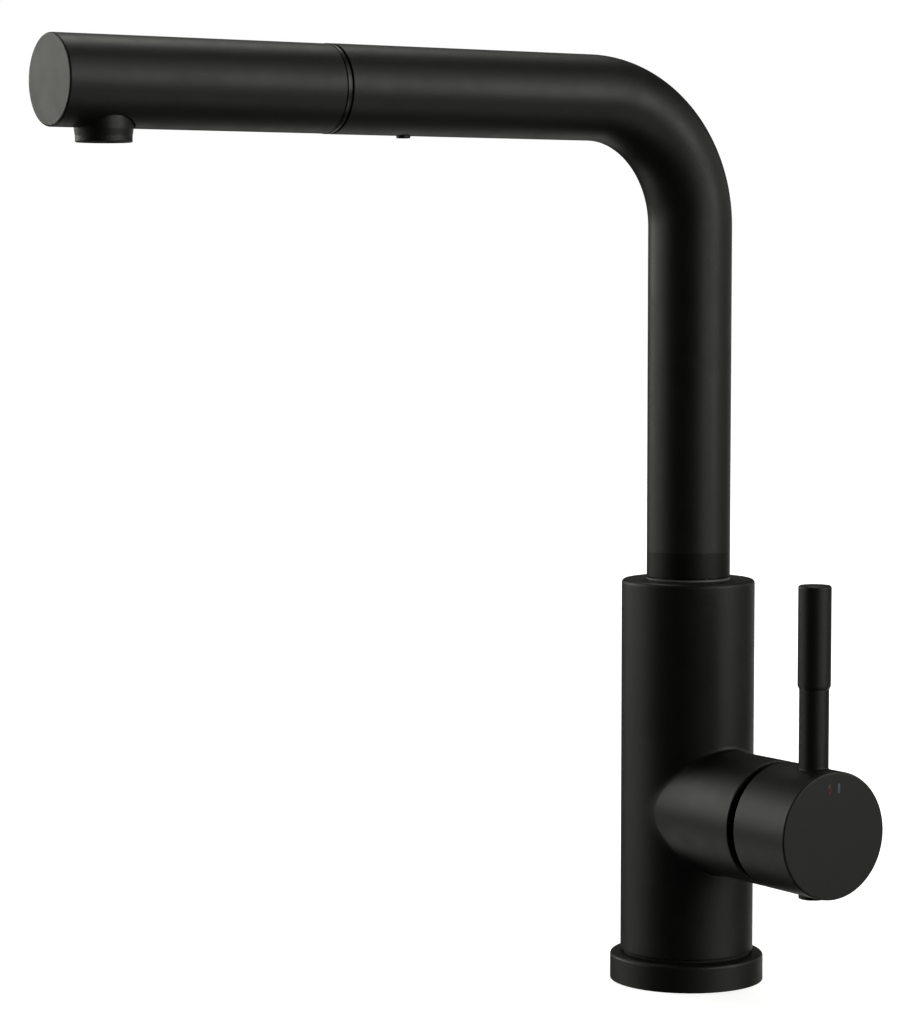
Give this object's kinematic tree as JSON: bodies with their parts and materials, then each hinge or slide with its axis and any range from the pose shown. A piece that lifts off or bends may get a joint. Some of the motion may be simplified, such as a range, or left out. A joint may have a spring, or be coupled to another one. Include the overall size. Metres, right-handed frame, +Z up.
{
  "type": "pull-out kitchen mixer tap",
  "caption": "Single-lever kitchen mixer tap with a straight column, an L-shaped swivel spout and a pull-out spray head, in black.",
  "frame": {"origin": "centre of the base, on the worktop", "axes": "+Z up the column, the arm points along -Y, the handle's hub along +X"},
  "size_m": [0.1148, 0.2941, 0.3462],
  "materials": {
    "black_paint": "satin",
    "brass": "satin",
    "steel": "satin",
    "copper": "satin",
    "rubber": "matte",
    "white_pom": "satin",
    "grey_pom": "satin",
    "ceramic": "satin",
    "hose_braid": "satin",
    "hot_enamel": "gloss",
    "cold_enamel": "gloss"
  },
  "bodies": {
    "column": {"base_flange": "black_paint", "deck_gasket": "rubber", "base_seal": "rubber", "port_block": "brass", "hose_guide_bush": "white_pom", "column_shell": "black_paint", "hot_feed_tube": "copper", "cold_feed_tube": "copper", "outlet_feed_tube": "copper", "valve_block": "brass", "cartridge_base": "grey_pom", "port_seals": "rubber", "fixed_disc": "ceramic", "cartridge_housing": "grey_pom", "cartridge_nut": "brass", "nut_cover": "black_paint", "swivel_screw": "steel", "swivel_washer": "grey_pom"},
    "carrier": {"stem_carrier": "white_pom", "stem_pin": "steel"},
    "mixing_disc": {"moving_disc": "ceramic", "disc_driver": "white_pom"},
    "handle": {"cartridge_stem": "brass", "handle_hub": "black_paint", "hub_grub_screw": "steel", "screw_cover": "black_paint", "lever_rod": "black_paint", "lever_grip": "black_paint", "hot_mark": "hot_enamel", "cold_mark": "cold_enamel"},
    "spout": {"swivel_sleeve": "brass", "glide_rings": "white_pom", "friction_ring": "rubber", "spout_collar": "black_paint", "spout_tube": "black_paint", "dock_sleeve": "grey_pom", "dock_ring": "black_paint", "dock_grip_ring": "rubber", "dock_screw": "black_paint", "hose_lower": "hose_braid"},
    "spray_head": {"hose_upper": "hose_braid", "hose_ferrule": "steel", "hose_nut": "brass", "hose_washer": "rubber", "inlet_filter": "steel", "check_valve_body": "white_pom", "check_valve_spring": "steel", "head_shell": "black_paint", "head_collar": "grey_pom", "head_waterway": "grey_pom", "nozzle_ring": "black_paint", "aerator_insert": "grey_pom", "aerator_screen": "steel", "aerator_gasket": "rubber"},
    "check_poppet": {"check_valve_poppet": "grey_pom"}
  },
  "joints": [
    {"name": "spout_swivel", "type": "hinge", "parent": "column", "child": "spout", "pos_m": [0, 0, 0.14], "axis": [0, 0, 1], "range_deg": [-70, 70]},
    {"name": "head_pull", "type": "slide", "parent": "spout", "child": "spray_head", "axis": [0, -1, 0], "range_m": [0, 0.45]},
    {"name": "temperature", "type": "hinge", "parent": "column", "child": "carrier", "pos_m": [0.0445, 0, 0.0665], "axis": [1, 0, 0], "range_deg": [-45, 45]},
    {"name": "flow", "type": "hinge", "parent": "carrier", "child": "handle", "pos_m": [0.0445, 0, 0.0665], "axis": [0, 1, 0], "range_deg": [0, 20]},
    {"name": "disc_slide", "type": "slide", "parent": "carrier", "child": "mixing_disc", "axis": [0, 0, 1], "range_m": [0, 0.0037]},
    {"name": "check_open", "type": "slide", "parent": "spray_head", "child": "check_poppet", "axis": [0, -1, 0], "range_m": [0, 0.002], "stiffness_N_per_m": 60, "springref_m": -0.001, "deforming": ["check_valve_spring"]}
  ],
  "couplings": [
    {"joint": "disc_slide", "follows": "flow", "m_per_rad": 0.01016}
  ]
}
